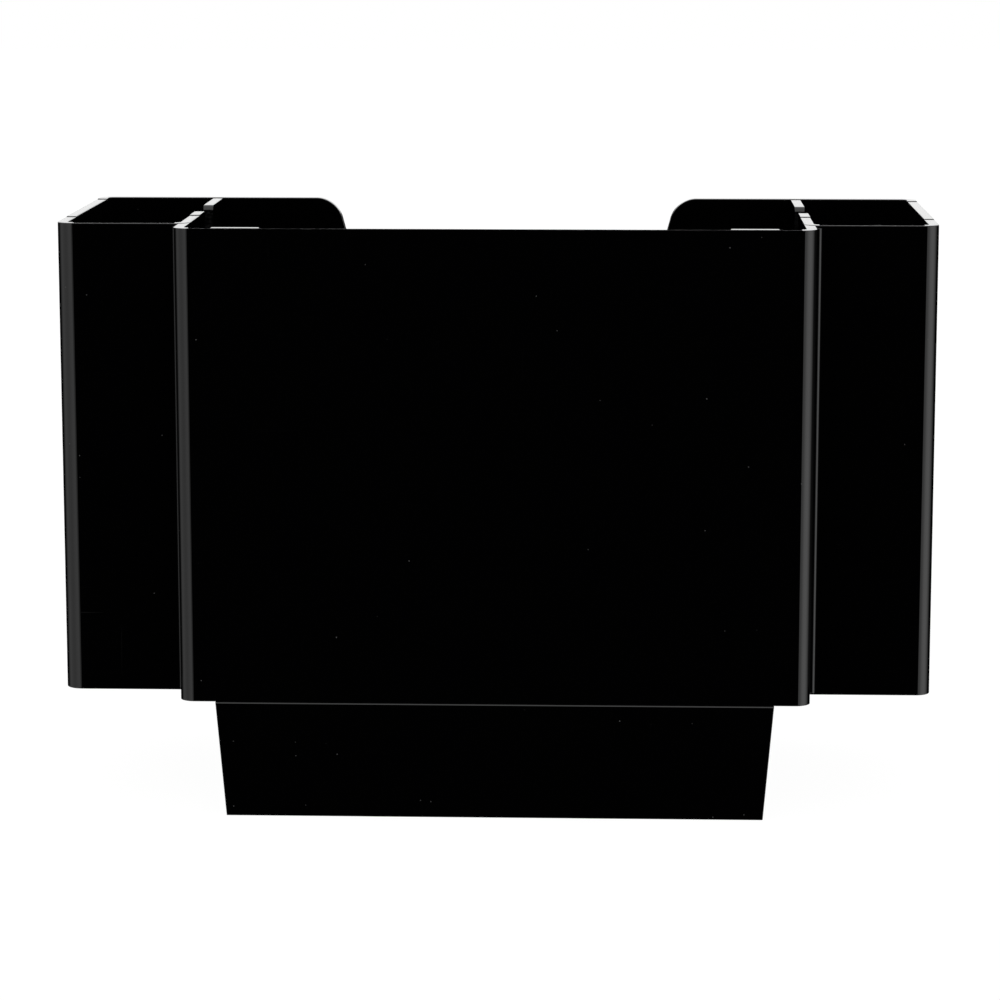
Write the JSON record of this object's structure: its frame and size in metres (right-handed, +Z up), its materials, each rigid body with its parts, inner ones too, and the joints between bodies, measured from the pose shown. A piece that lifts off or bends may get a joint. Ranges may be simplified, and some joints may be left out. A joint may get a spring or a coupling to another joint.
{
  "type": "napkin dispenser",
  "caption": "Gloss black acrylic napkin caddy on a raised foot, with straw pockets at the sides, a cut-out back and a loose weight bar.",
  "frame": {"origin": "on the counter, under the middle of the object's box", "axes": "+Z up, -Y towards the user who faces the closed front panel, +X to that user's right"},
  "size_m": [0.2794, 0.1142, 0.1889],
  "materials": {
    "black_acrylic": "polished cast acrylic sheet, mirror gloss on its faces and flame-polished edges",
    "stainless_steel": "fine grain brushed along the bar",
    "black_nylon": "turned nylon, satin",
    "screw_steel": "bright zinc-plated screw"
  },
  "bodies": {
    "caddy": {"centre_front": "black_acrylic", "back_panel": "black_acrylic", "centre_floor": "black_acrylic", "foot_front": "black_acrylic", "foot_back": "black_acrylic", "left_pocket_front": "black_acrylic", "left_outer_side": "black_acrylic", "left_divider": "black_acrylic", "left_pocket_floor": "black_acrylic", "left_front_strip": "black_acrylic", "left_foot_side": "black_acrylic", "right_pocket_front": "black_acrylic", "right_outer_side": "black_acrylic", "right_divider": "black_acrylic", "right_pocket_floor": "black_acrylic", "right_front_strip": "black_acrylic", "right_foot_side": "black_acrylic"},
    "weight": {"weight_bar": "stainless_steel", "left_guide_spool": "black_nylon", "right_guide_spool": "black_nylon", "left_spool_screw": "screw_steel", "right_spool_screw": "screw_steel"}
  },
  "joints": [
    {"name": "weight_lift", "type": "slide", "parent": "caddy", "child": "weight", "axis": [0, 0, 1], "range_m": [0, 0.14]}
  ]
}
